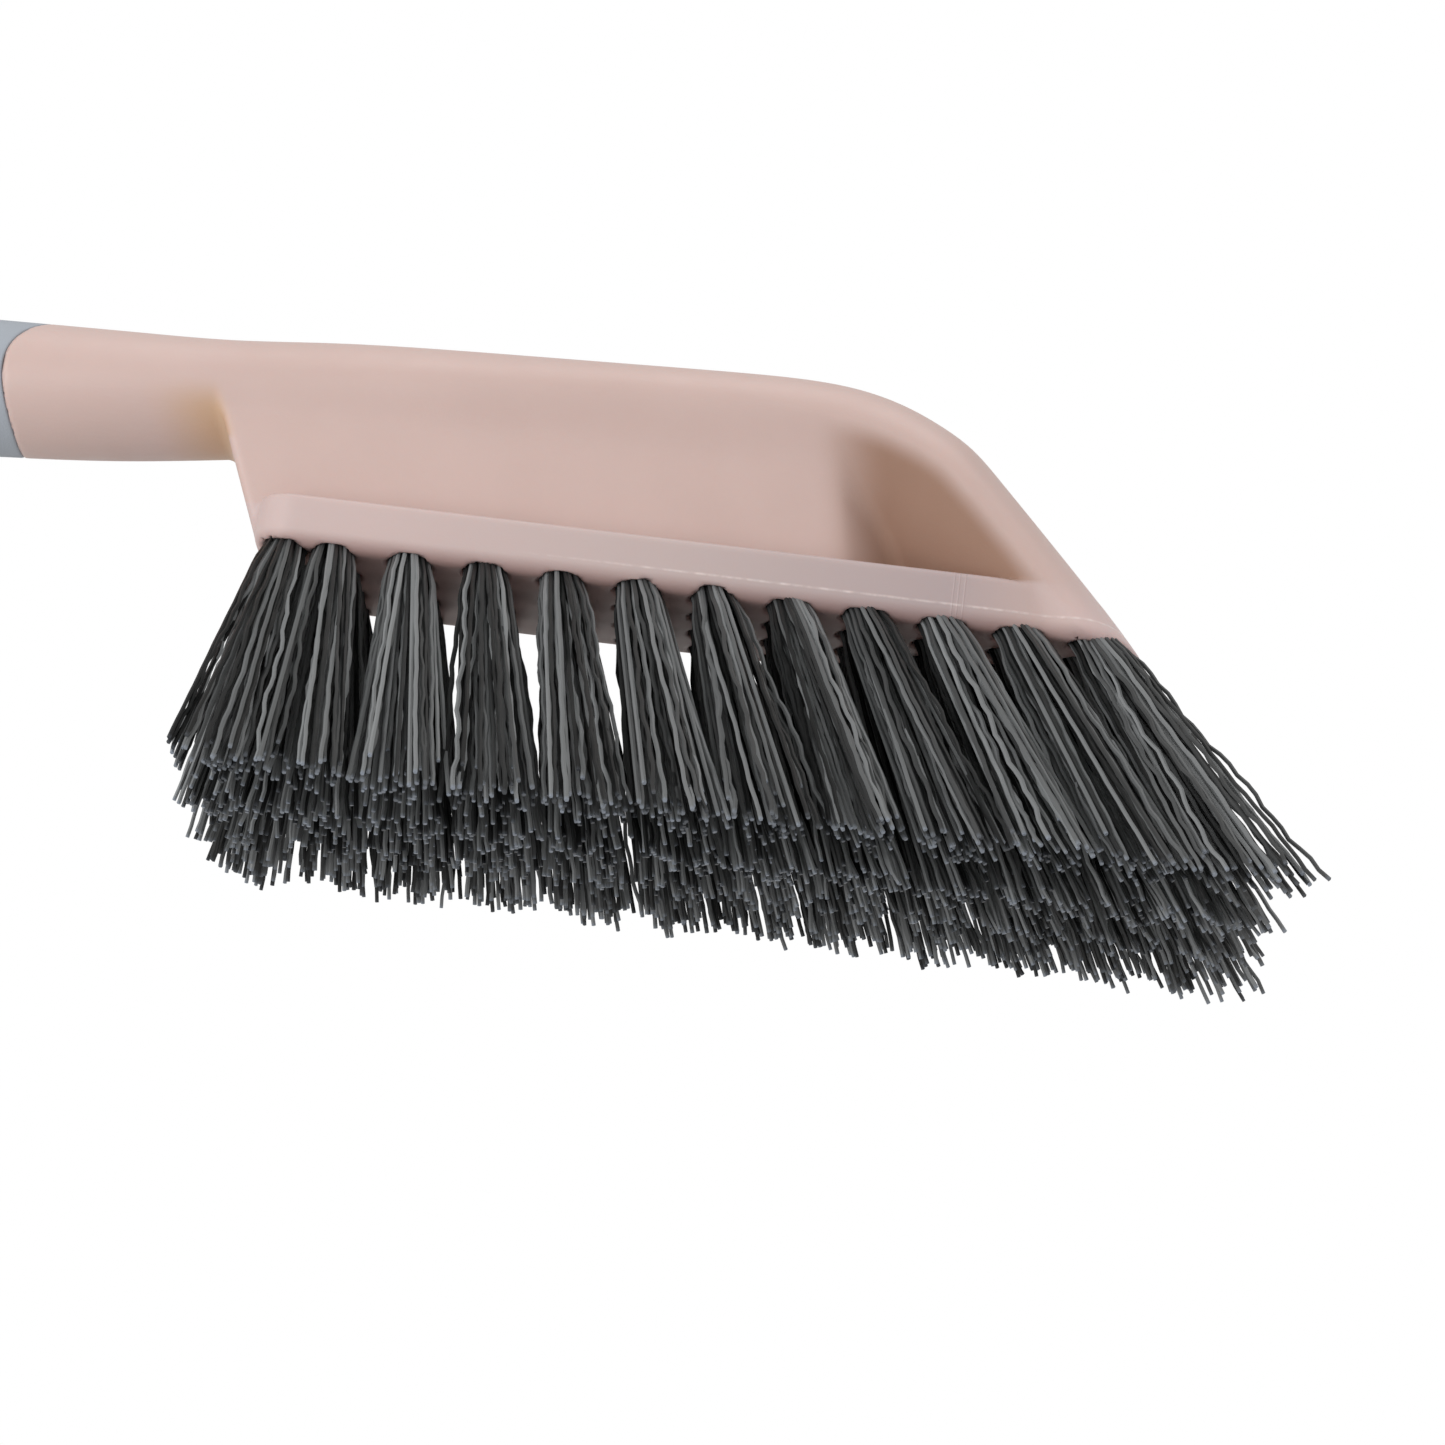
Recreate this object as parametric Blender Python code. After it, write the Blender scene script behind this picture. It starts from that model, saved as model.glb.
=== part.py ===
"""Hand sweeping brush with a soft grip, in metres, +Z up.

The brush stands on its bristle tips. +X points to the nose and Y runs across the head. The origin is
on the ground under the middle of the brush's length.
"""

from math import atan2, cos, pi, sin, tan

import bmesh
import bpy
from mathutils import Vector

MM = 0.001

# The tufts: rows lie along X, and every row has the same columns.
ROWS = 4
COLUMNS = 12
ROW_PITCH = 8.2 * MM
COLUMN_PITCH = 10.4 * MM
FIRST_PITCH = 6.6 * MM
FIRST_HOLE_X = 0.0 * MM
HOLE_RADIUS = 3.0 * MM
HOLE_DEPTH = 5.2 * MM
GAP = 0.3 * MM
TUFT_RADIUS = HOLE_RADIUS - GAP
STUB_BELOW_HOLE = 2.2 * MM
BRISTLE_DROP = 36.0 * MM
TIP_FIRST_X = -3.2 * MM
TIP_COLUMN_PITCH = 12.36 * MM
TIP_ROW_PITCH = 17.6 * MM
TIP_HALF_X = 6.0 * MM
TIP_HALF_Y = 7.6 * MM
TUFT_SIDES = 12

# The block that holds the tufts, and the web that joins it to the spine.
BLOCK_BOTTOM = BRISTLE_DROP
BLOCK_HEIGHT = 7.2 * MM
BLOCK_HALF_WIDTH = 16.0 * MM
BLOCK_REAR = -4.6 * MM
BLOCK_FRONT = 118.4 * MM
REAR_CORNER = 5.5 * MM
FRONT_CORNER = 12.0 * MM
LOWER_ROUND = 1.8 * MM
UPPER_ROUND = 0.5 * MM
WEB_HALF_WIDTH = 9.4 * MM
NOSE_WEB_HALF_WIDTH = 4.0 * MM
CORNER_STEPS = 6

# The bar that is handle, neck, spine and nose in one. Its rear end mirrors the reach of the front tips.
REAR_END = -(TIP_FIRST_X + (COLUMNS - 1) * TIP_COLUMN_PITCH + TIP_HALF_X)
END_ROUND = 9.0 * MM
BAR_SIDES = 24
GRIP_REAR = -124.0 * MM
GRIP_FRONT = -40.5 * MM
GRIP_THICKNESS = 1.7 * MM
HANG_HOLE_X = REAR_END + 9.0 * MM
HANG_HOLE_RADIUS = 4.0 * MM
HANG_HOLE_SIDES = 16
HANG_CUTTER_HALF_LENGTH = 20.0 * MM
NOSE_SLOPE = 46.7 * pi / 180

# Stations of the grip's outside and of the bare bar: x, middle height, half depth, half width, in mm.
GRIP_STATIONS = (
    (-124.0, 57.3, 10.2, 9.9),
    (-112.0, 56.9, 11.2, 11.4),
    (-92.0, 56.9, 11.7, 12.3),
    (-70.0, 57.4, 10.5, 11.8),
    (-52.0, 58.2, 9.6, 11.2),
    (-40.5, 58.8, 9.3, 11.0),
)
NECK_STATIONS = (
    (-26.0, 59.7, 8.8, 10.8),
    (-13.0, 60.9, 8.1, 10.4),
    (0.0, 62.5, 7.6, 10.6),
    (20.0, 64.2, 7.0, 11.0),
    (45.0, 65.7, 6.4, 11.5),
    (66.0, 66.3, 6.4, 12.0),
)
# The nose turns down: x and z of its outer line, its slope in degrees, half depth and half width.
NOSE_STATIONS = (
    (75.0, 72.1, 9.0, 6.4, 12.6),
    (81.5, 70.4, 18.0, 6.5, 13.3),
    (87.3, 67.7, 28.0, 6.6, 14.0),
    (92.0, 64.6, 38.0, 6.6, 14.6),
    (96.2, 60.5, 46.7, 6.6, 15.1),
)
TOE_HALF_WIDTH = 16.0 * MM
BELOW_BLOCK = 12.0 * MM


def clear_scene():
    for obj in list(bpy.data.objects):
        bpy.data.objects.remove(obj, do_unlink=True)


def material(name, colour, roughness, metallic=0.0):
    made = bpy.data.materials.new(name)
    made.use_nodes = True
    shader = made.node_tree.nodes["Principled BSDF"]
    shader.inputs["Base Color"].default_value = (*colour, 1.0)
    shader.inputs["Roughness"].default_value = roughness
    shader.inputs["Metallic"].default_value = metallic
    return made


def object_from(name, mesh_builder, finish=None, smooth_angle=40):
    mesh = bpy.data.meshes.new(name)
    bmesh.ops.recalc_face_normals(mesh_builder, faces=mesh_builder.faces)
    mesh_builder.to_mesh(mesh)
    mesh_builder.free()
    mesh.shade_smooth()
    mesh.set_sharp_from_angle(angle=smooth_angle * pi / 180)
    obj = bpy.data.objects.new(name, mesh)
    bpy.context.scene.collection.objects.link(obj)
    if finish:
        mesh.materials.append(finish)
    return obj


def skin(rings, closed_ends=True):
    """A tube through rings of the same number of points."""
    built = bmesh.new()
    verts = [[built.verts.new(point) for point in ring] for ring in rings]
    sides = len(rings[0])
    for lower, upper in zip(verts, verts[1:]):
        for i in range(sides):
            after = (i + 1) % sides
            built.faces.new((lower[i], lower[after], upper[after], upper[i]))
    if closed_ends:
        built.faces.new(verts[0])
        built.faces.new(verts[-1])
    return built


def bar_ring(x, z, half_depth, half_width, slope=0.0):
    """An oval round the bar's middle line, square to a line that falls by slope towards +X."""
    ring = []
    for i in range(BAR_SIDES):
        turn = 2 * pi * i / BAR_SIDES
        rise = half_depth * sin(turn)
        across = half_width * cos(turn)
        ring.append(Vector((x + rise * sin(slope), across, z + rise * cos(slope))))
    return ring


def in_metres(stations):
    return [tuple(value * MM for value in station) for station in stations]


def end_cap_rings():
    """The handle's rounded end, from its tip to the rear of the grip."""
    _, middle, half_depth, half_width = in_metres(GRIP_STATIONS)[0]
    rings = []
    for degrees in (18, 38, 60, 90):
        turn = degrees * pi / 180
        x = REAR_END + END_ROUND * (1 - cos(turn))
        rings.append(bar_ring(x, middle, half_depth * sin(turn) ** 0.6, half_width * sin(turn) ** 0.6))
    rings[0] = [Vector((REAR_END, point.y, point.z)) for point in rings[0]]
    rings.append(bar_ring(GRIP_REAR - GAP, middle, half_depth, half_width))
    return rings


def core_rings():
    """The plain core inside the grip."""
    under = GRIP_THICKNESS + GAP
    stations = in_metres(GRIP_STATIONS)
    rings = [bar_ring(x, z, depth - under, width - under) for x, z, depth, width in stations]
    for ring, x in ((rings[0], GRIP_REAR - GAP), (rings[-1], GRIP_FRONT + GAP)):
        for point in ring:
            point.x = x
    return rings


def nose_rings():
    rings = []
    for x, z, degrees, depth, width in NOSE_STATIONS:
        slope = degrees * pi / 180
        middle_x = x * MM - depth * MM * sin(slope)
        middle_z = z * MM - depth * MM * cos(slope)
        rings.append(bar_ring(middle_x, middle_z, depth * MM, width * MM, slope))
    # A straight run to below the block, which is cut level afterwards.
    last_x, last_z, _, depth, width = NOSE_STATIONS[-1]
    fall = last_z * MM - BLOCK_BOTTOM + BELOW_BLOCK
    middle_x = last_x * MM + fall / sin(NOSE_SLOPE) * cos(NOSE_SLOPE) - depth * MM * sin(NOSE_SLOPE)
    middle_z = last_z * MM - fall - depth * MM * cos(NOSE_SLOPE)
    rings.append(bar_ring(middle_x, middle_z, depth * MM, TOE_HALF_WIDTH, NOSE_SLOPE))
    return rings


def make_bar(finish):
    behind_grip = bar_ring(GRIP_FRONT + GAP, *in_metres(GRIP_STATIONS)[-1][1:])
    neck = [bar_ring(*station) for station in in_metres(NECK_STATIONS)]
    rings = end_cap_rings() + core_rings() + [behind_grip] + neck + nose_rings()
    return object_from("brush_body", skin(rings), finish)


def prism(name, outline, half_width):
    """An XZ outline pushed out to both sides of the middle plane."""
    rings = [[Vector((x * MM, side * half_width, z * MM)) for x, z in outline] for side in (-1, 1)]
    return object_from(name, skin(rings))


def corner_points(centre_x, centre_y, radius, from_degrees):
    turns = [(from_degrees + 90 * i / CORNER_STEPS) * pi / 180 for i in range(CORNER_STEPS + 1)]
    return [Vector((centre_x + radius * cos(turn), centre_y + radius * sin(turn), 0)) for turn in turns]


def block_outline(inset, height):
    """The block's outline at a height, drawn in by inset, anticlockwise. Its front leans back with the nose."""
    half = BLOCK_HALF_WIDTH
    lean = (height - BLOCK_BOTTOM) / tan(NOSE_SLOPE)
    front_x, front_y = BLOCK_FRONT - lean - FRONT_CORNER, half - FRONT_CORNER
    rear_x, rear_y = BLOCK_REAR + REAR_CORNER, half - REAR_CORNER
    return (
        corner_points(front_x, -front_y, FRONT_CORNER - inset, 270)
        + corner_points(front_x, front_y, FRONT_CORNER - inset, 0)
        + corner_points(rear_x, rear_y, REAR_CORNER - inset, 90)
        + corner_points(rear_x, -rear_y, REAR_CORNER - inset, 180)
    )


def make_block():
    levels = []
    for degrees in (0, 30, 60, 90):
        turn = degrees * pi / 180
        levels.append((LOWER_ROUND * (1 - sin(turn)), BLOCK_BOTTOM + LOWER_ROUND * (1 - cos(turn))))
    top = BLOCK_BOTTOM + BLOCK_HEIGHT
    levels += [(0.0, top - UPPER_ROUND), (UPPER_ROUND, top)]
    rings = [[Vector((p.x, p.y, z)) for p in block_outline(inset, z)] for inset, z in levels]
    return object_from("block", skin(rings))


def make_web():
    outline = (
        (-14.6, 61.0), (-14.0, 58.6), (-10.4, 49.4), (-7.0, 43.4), (-4.4, 39.5),
        (87.0, 39.5), (84.5, 46.0), (80.0, 54.5), (74.0, 62.0), (70.0, 65.5), (0.0, 63.0),
    )
    return prism("web", outline, WEB_HALF_WIDTH)


def make_nose_web():
    outline = ((68.0, 66.0), (84.0, 65.0), (93.5, 55.5), (107.0, 40.0), (82.0, 39.0), (70.0, 55.0))
    return prism("nose_web", outline, NOSE_WEB_HALF_WIDTH)


def column_x(column):
    return FIRST_HOLE_X + (0 if column == 0 else FIRST_PITCH + (column - 1) * COLUMN_PITCH)


def tuft_line(row, column):
    """Where a tuft leaves the block, and the middle of its trimmed tips."""
    across = row - (ROWS - 1) / 2
    start = Vector((column_x(column), across * ROW_PITCH, BLOCK_BOTTOM))
    end = Vector((TIP_FIRST_X + column * TIP_COLUMN_PITCH, across * TIP_ROW_PITCH, 0))
    return start, end


def round_ring(centre, along, radius, sides):
    side = along.cross(Vector((0, 1, 0))).normalized()
    other = along.cross(side).normalized()
    turns = [2 * pi * i / sides for i in range(sides)]
    return [centre + (side * cos(turn) + other * sin(turn)) * radius for turn in turns]


def make_hole_cutter(row, column):
    start, end = tuft_line(row, column)
    along = (end - start).normalized()
    past_mouth = 4 * MM
    ends = (start - along * HOLE_DEPTH, start + along * past_mouth)
    rings = [round_ring(centre, along, HOLE_RADIUS, TUFT_SIDES) for centre in ends]
    return object_from("hole_cutter", skin(rings))


def tip_ring(centre, spokes):
    """The trimmed tips: an oval on the ground, its points in the order of the tuft's other rings."""
    angles = [atan2(spoke.y, spoke.x) for spoke in spokes]
    return [centre + Vector((TIP_HALF_X * cos(a), TIP_HALF_Y * sin(a), 0)) for a in angles]


def make_tuft(row, column, finish):
    start, end = tuft_line(row, column)
    along = (end - start).normalized()
    inner_end = start - along * (HOLE_DEPTH - GAP)
    outside = start + along * STUB_BELOW_HOLE
    rings = [round_ring(centre, along, TUFT_RADIUS, TUFT_SIDES) for centre in (inner_end, outside)]
    spokes = [point - outside for point in rings[1]]
    rings.append(tip_ring(end, spokes))
    name = f"bristle_tuft_{'abcd'[row]}{column + 1:02d}"
    return object_from(name, skin(rings), finish)


def make_grip(finish):
    stations = in_metres(GRIP_STATIONS)
    outside = [bar_ring(*station) for station in stations]
    inside = [bar_ring(x, z, d - GRIP_THICKNESS, w - GRIP_THICKNESS) for x, z, d, w in reversed(stations)]
    built = skin(outside + inside, closed_ends=False)
    sides = BAR_SIDES
    built.verts.ensure_lookup_table()
    first, last = built.verts[:sides], built.verts[-sides:]
    for i in range(sides):
        after = (i + 1) % sides
        built.faces.new((last[i], last[after], first[after], first[i]))
    return object_from("grip_sleeve", built, finish)


def make_hang_hole_cutter():
    centre_z = GRIP_STATIONS[0][1] * MM
    ends = [Vector((HANG_HOLE_X, side * HANG_CUTTER_HALF_LENGTH, centre_z)) for side in (-1, 1)]
    turns = [2 * pi * i / HANG_HOLE_SIDES for i in range(HANG_HOLE_SIDES)]
    rings = [
        [end + Vector((cos(turn), 0, sin(turn))) * HANG_HOLE_RADIUS for turn in turns] for end in ends
    ]
    return object_from("hang_hole_cutter", skin(rings))


def make_level_cutter():
    """All that the nose bar would reach below the block, and room round it."""
    built = bmesh.new()
    bmesh.ops.create_cube(built, size=1.0)
    room = 15 * MM
    low = Vector((BLOCK_FRONT / 2, -BLOCK_HALF_WIDTH - room, BLOCK_BOTTOM - 2 * room))
    high = Vector((BLOCK_FRONT + 3 * room, BLOCK_HALF_WIDTH + room, BLOCK_BOTTOM))
    for vert in built.verts:
        vert.co = (low + high) / 2 + Vector(c * s for c, s in zip(vert.co, high - low))
    return object_from("level_cutter", built)


def combine(target, other, operation):
    modifier = target.modifiers.new(f"{operation.lower()} {other.name}", "BOOLEAN")
    modifier.operation = operation
    modifier.solver = "EXACT"
    modifier.object = other
    other.hide_render = True
    other.display_type = "WIRE"


def join_cutters(cutters, name):
    """One mesh of many separate cutters, so that a single Boolean makes every hole."""
    joined = bmesh.new()
    for cutter in cutters:
        joined.from_mesh(cutter.data)
        bpy.data.objects.remove(cutter, do_unlink=True)
    return object_from(name, joined)


def main():
    clear_scene()
    pink_plastic = material("pink_plastic", (0.62, 0.44, 0.38), 0.42)
    grip_rubber = material("grip_rubber", (0.38, 0.40, 0.45), 0.6)
    bristle = material("bristle", (0.06, 0.06, 0.062), 0.5)

    body = make_bar(pink_plastic)
    for piece in (make_web(), make_nose_web(), make_block()):
        combine(body, piece, "UNION")
    combine(body, make_level_cutter(), "DIFFERENCE")
    places = [(row, column) for row in range(ROWS) for column in range(COLUMNS)]
    holes = join_cutters([make_hole_cutter(*place) for place in places], "tuft_hole_cutters")
    combine(body, holes, "DIFFERENCE")
    combine(body, make_hang_hole_cutter(), "DIFFERENCE")

    make_grip(grip_rubber)
    for place in places:
        make_tuft(*place, bristle)


main()
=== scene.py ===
"""Looks of the hand brush: smooth moulded body, soft grip, and tufts of crimped filaments.

Shapes are worked out in millimetres along the frame's axes, and put into the scene in metres, which
the materials, the camera and the lights use too.
"""

from math import cos, pi, radians, sin, tan

import bpy
import numpy as np
from mathutils import Matrix, Vector


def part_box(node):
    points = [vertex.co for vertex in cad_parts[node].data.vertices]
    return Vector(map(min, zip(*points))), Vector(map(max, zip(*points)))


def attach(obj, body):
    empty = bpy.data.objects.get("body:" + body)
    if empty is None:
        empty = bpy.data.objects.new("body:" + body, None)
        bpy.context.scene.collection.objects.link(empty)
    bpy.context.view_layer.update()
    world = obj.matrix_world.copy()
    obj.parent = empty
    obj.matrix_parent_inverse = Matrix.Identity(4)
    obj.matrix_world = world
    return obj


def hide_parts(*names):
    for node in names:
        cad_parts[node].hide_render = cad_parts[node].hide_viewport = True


MM = 0.001
SEED = 7
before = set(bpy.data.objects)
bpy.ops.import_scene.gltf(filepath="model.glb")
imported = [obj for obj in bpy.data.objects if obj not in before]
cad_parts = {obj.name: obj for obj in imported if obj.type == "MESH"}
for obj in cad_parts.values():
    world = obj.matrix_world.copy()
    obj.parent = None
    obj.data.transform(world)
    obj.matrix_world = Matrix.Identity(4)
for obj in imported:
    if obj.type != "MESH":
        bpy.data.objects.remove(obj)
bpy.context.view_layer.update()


def node_box(name):
    """A CAD node's lowest and highest corner, in millimetres."""
    low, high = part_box(name)
    return np.array(low) / MM, np.array(high) / MM


BODY_LOW, BODY_HIGH = node_box("brush_body")
GRIP_LOW, GRIP_HIGH = node_box("grip_sleeve")
TUFT_NODES = sorted(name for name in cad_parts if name.startswith("bristle_tuft"))

# The block under the head, in millimetres.
BLOCK_BOTTOM = BODY_LOW[2]
BLOCK_TOP = BLOCK_BOTTOM + 7.2
BLOCK_HALF_WIDTH = BODY_HIGH[1]
BLOCK_DRAFT = 0.12
BLOCK_REAR = -4.6
BLOCK_FRONT = 117.6
REAR_CORNER = 5.5
FRONT_CORNER = 12.0
LOWER_ROUND = 2.4
NOSE_LOWER_ROUND = 0.9
UPPER_ROUND = 0.8
BAR_COVE = 0.5
NOSE_EXTRA_COVE = 0.9
NOSE_SLOPE = radians(46.7)
HOLE_RADIUS = 3.0
HOLE_DEPTH = 5.2
HOLE_ROUND = 0.35

# The plastic left outside every hole: walls thinner than a cell come out ragged.
THINNEST_WALL = 1.0
NOSE_EXTRA_WALL = 0.7

# The web between block and spine, and the coves where it meets the bar.
WEB_HALF_WIDTH = 9.4
WEB_EDGE_ROUND = 0.9
WEB_REAR_TOP = (-14.7, 62.0)
WEB_REAR_BOTTOM = (-7.0, 43.4)
WEB_FRONT_TOP = (72.6, 62.0)
WEB_FRONT_BOTTOM = (75.8, 46.0)
WEB_TOP_DEPTH = 7.0
WEB_END_SLOPE = 0.78
WEB_END_SOFTNESS = 1.5
POCKET_FLOOR = 0.8
NECK_COVE = 1.0
SPINE_COVE = 4.0
POCKET_CREASE = 2.2

# The hole through the handle's end, and the handle's rounded end.
HANG_HOLE = (BODY_LOW[0] + 9.0, 57.3)
HANG_HOLE_RADIUS = 4.0
HANG_HOLE_ROUND = 1.2
END_ROUND = 9.0

# The soft grip, and the step in the plastic where it ends.
GRIP_THICKNESS = 1.7
GRIP_EDGE_ROUND = 0.3
GRIP_SIDES = 96
GRIP_RINGS = 90
GRIP_END_SHARES = (0.0008, 0.002, 0.0035, 0.9965, 0.998, 0.9992)
JOINT_GAP = 0.06
STEP_ROUND = 0.35

# Where along the brush one size gives way to the next.
DRAFT_GROWS = (0, 110)
NECK_TO_SPINE = (-16, 20)
SPINE_TO_POCKET = (66, 80)
COVE_GROWS = (98, 106)
WALL_GROWS = (103, 107)
BLOCK_TO_NOSE = (104, 117)

# The body's mesh comes from a grid of CELL, the bar's table of values from one of READ_CELL. FAR
# is where a distance stops counting.
CELL = 0.62
READ_CELL = 0.3
READ_MARGIN = 3.0
BAR_STEP = 0.8
POINTS_AT_ONCE = 4000
FAR = 9.0
RELAX_ROUNDS = 3
SLOPE_STEP = 0.04
LEAST_SLOPE = 0.2
LONGEST_MOVE = 0.3

# The bar that is handle, neck, spine and nose, by its top line: x, z, the depth from that line to
# the bar's widest, the depth from there on to the bar's inner side, half width, and how round the
# inner side is (2 is an oval).
BAR = (
    (-150.0, 67.3, 10.0, 10.0, 9.7, 2.0),
    (-124.3, 67.5, 10.2, 10.2, 9.9, 2.0),
    (-112.0, 68.1, 11.2, 11.2, 11.4, 2.0),
    (-92.0, 68.6, 11.7, 11.7, 12.3, 2.0),
    (-70.0, 67.9, 10.5, 10.5, 11.8, 2.0),
    (-52.0, 67.8, 9.6, 9.6, 11.2, 2.0),
    (-40.5, 68.1, 9.3, 9.3, 11.0, 2.0),
    (-26.0, 68.5, 8.8, 8.8, 10.8, 2.0),
    (-13.0, 69.0, 8.1, 8.1, 10.4, 2.0),
    (0.0, 70.1, 7.6, 7.6, 10.6, 2.0),
    (20.0, 71.2, 7.0, 7.0, 11.0, 2.0),
    (45.0, 72.1, 6.5, 8.0, 11.5, 1.9),
    (60.0, 72.65, 6.8, 9.0, 11.9, 1.7),
    (68.0, 72.7, 7.2, 10.0, 12.3, 1.45),
    (75.0, 72.1, 7.6, 11.0, 12.8, 1.4),
    (81.5, 70.4, 7.6, 11.8, 13.4, 1.36),
    (87.3, 67.7, 7.3, 12.5, 14.1, 1.35),
    (92.0, 64.6, 7.0, 13.0, 14.8, 1.35),
    (96.2, 60.5, 6.8, 13.3, 15.3, 1.35),
    (108.6, 47.34, 6.7, 13.5, 16.0, 1.35),
    (114.3, 41.1, 6.6, 13.5, 16.1, 1.35),
    (118.4, 36.1, 6.5, 13.5, 16.2, 1.35),
    (122.0, 31.0, 6.5, 13.5, 16.2, 1.35),
)


def smooth_curve(knots, values, at):
    """A natural cubic curve through values at knots, read at other places."""
    knots, values = np.asarray(knots, float), np.asarray(values, float)
    gaps = np.diff(knots)
    count = len(knots)
    system = np.eye(count)
    right = np.zeros(count)
    slopes = np.diff(values) / gaps
    for i in range(1, count - 1):
        system[i, i - 1 : i + 2] = gaps[i - 1], 2 * (gaps[i - 1] + gaps[i]), gaps[i]
        right[i] = 6 * (slopes[i] - slopes[i - 1])
    bend = np.linalg.solve(system, right)
    i = np.clip(np.searchsorted(knots, at) - 1, 0, count - 2)
    before, after = at - knots[i], knots[i + 1] - at
    return (
        bend[i] * after**3 / (6 * gaps[i])
        + bend[i + 1] * before**3 / (6 * gaps[i])
        + (values[i] / gaps[i] - bend[i] * gaps[i] / 6) * after
        + (values[i + 1] / gaps[i] - bend[i + 1] * gaps[i] / 6) * before
    )


def ease(low, high, value):
    """From 0 at low to 1 at high, level at both."""
    share = np.clip((value - low) / (high - low), 0, 1)
    return share * share * (3 - 2 * share)


class Bar:
    """The bar's top line as short straight runs, with its section's sizes along it."""

    def __init__(self):
        table = np.array(BAR)
        run = np.concatenate([[0], np.cumsum(np.hypot(*np.diff(table[:, :2], axis=0).T))])
        along = np.linspace(0, run[-1], int(run[-1] / BAR_STEP))
        self.x, self.z, self.outer, self.inner, self.half_width, self.roundness = (
            smooth_curve(run, column, along) for column in table.T
        )

        self.low = BODY_LOW[[0, 2]] - READ_MARGIN
        counts = np.ceil((BODY_HIGH[[0, 2]] + READ_MARGIN - self.low) / READ_CELL).astype(int) + 1
        x, z = (low + READ_CELL * np.arange(n) for low, n in zip(self.low, counts))
        self.table = np.stack(self.nearest(*np.meshgrid(x, z, indexing="ij")), -1)

    def read(self, x, z):
        """The same as nearest, from the table of its values."""
        across, up = (x - self.low[0]) / READ_CELL, (z - self.low[1]) / READ_CELL
        i = np.clip(across.astype(int), 0, self.table.shape[0] - 2)
        k = np.clip(up.astype(int), 0, self.table.shape[1] - 2)
        s, t = (across - i)[..., None], (up - k)[..., None]
        low_x = self.table[i, k] * (1 - t) + self.table[i, k + 1] * t
        high_x = self.table[i + 1, k] * (1 - t) + self.table[i + 1, k + 1] * t
        return np.moveaxis(low_x * (1 - s) + high_x * s, -1, 0)

    def nearest(self, x, z):
        """Depth below the top line, and the section's sizes, for points in the middle plane."""
        start = np.stack([self.x[:-1], self.z[:-1]], -1)
        step = np.stack([np.diff(self.x), np.diff(self.z)], -1)
        length = np.hypot(*step.T)
        found = []
        parts = max(1, x.size // POINTS_AT_ONCE)
        for part in np.array_split(np.stack([x.ravel(), z.ravel()], -1), parts):
            away = part[:, None] - start[None]
            share = np.clip((away * step).sum(-1) / length**2, 0, 1)
            gap = np.hypot(*np.moveaxis(away - share[..., None] * step, -1, 0))
            i = gap.argmin(1)
            rows = np.arange(len(part))
            t = share[rows, i]
            side = step[i, 1] * away[rows, i, 0] - step[i, 0] * away[rows, i, 1]
            sizes = [v[i] * (1 - t) + v[i + 1] * t for v in self.sizes()]
            found.append(np.stack([np.sign(side) * gap[rows, i], *sizes], -1))
        found = np.concatenate(found)
        return [found[:, k].reshape(x.shape) for k in range(found.shape[1])]

    def sizes(self):
        return self.outer, self.inner, self.half_width, self.roundness

    def section(self, x):
        """Top z, half depths and half width at x, for the nearly level part."""
        level = slice(0, int(np.argmax(self.x > 60)))
        columns = (self.z, self.outer, self.inner, self.half_width)
        return [np.interp(x, self.x[level], column[level]) for column in columns]


bar = Bar()


def carve(a, b, radius):
    """What is inside both a and b, with the edge between them rounded."""
    rounded = np.hypot(np.maximum(a + radius, 0), np.maximum(b + radius, 0))
    return np.minimum(np.maximum(a, b), -radius) + rounded


def join(a, b, radius):
    """What is inside a or b, with the corner between them filled to a cove."""
    return -carve(-a, -b, radius)


def side_of(start, end, x, z):
    """Distance to the right of the line from start to end."""
    dx, dz = end[0] - start[0], end[1] - start[1]
    return ((x - start[0]) * dz - (z - start[1]) * dx) / np.hypot(dx, dz)


def bar_field(x, y, depth, outer, inner, half_width, roundness, shrink=0.0):
    """Roughly the distance outside the bar."""
    below = depth - outer
    power = np.where(below < 0, 2.0, roundness)
    reach = np.where(below < 0, outer, inner) - shrink
    width = half_width - shrink
    a = np.maximum(np.abs(below) / reach, 1e-4)
    b = np.maximum(np.abs(y) / width, 1e-4)
    norm = (a**power + b**power) ** (1 / power)
    end = np.maximum((BODY_LOW[0] + END_ROUND - x) / END_ROUND, 0)
    steep = norm ** (1 - power) * np.hypot(a ** (power - 1) / reach, b ** (power - 1) / width)
    whole = (norm**2.5 + end**2.5) ** 0.4
    steep = np.hypot(steep * (norm / whole) ** 1.5, (end / whole) ** 1.5 / END_ROUND)
    return np.clip((whole - 1) / steep, -FAR, FAR)


def grip_edge(rise):
    """Where the grip stops on the neck, by the height on the section from -1 to 1."""
    return GRIP_HIGH[0] - 2.4 + (3.7 + 1.5 * rise) * rise**2


def rear_grip_edge(rise):
    """Where the grip starts near the handle's end, by the same height."""
    return GRIP_LOW[0] + 1.5 - 1.6 * rise**2


def tuft_lines():
    """For each tuft node: the middle of its inner end, and the middle of its trimmed tips."""
    lines = {}
    for name in TUFT_NODES:
        points = np.array([v.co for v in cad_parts[name].data.vertices]) / MM
        inner = points[points[:, 2] > BLOCK_BOTTOM + 1].mean(0)
        tips = points[points[:, 2] < 0.5].mean(0)
        lines[name] = (inner, tips)
    return lines


TUFT_LINES = tuft_lines()


def way_out(inner, tips):
    """A tuft's direction, from its hole to its tips, and the middle of its hole's mouth."""
    along = (tips - inner) / np.linalg.norm(tips - inner)
    return along, inner + along * (BLOCK_BOTTOM - inner[2]) / along[2]


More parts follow.
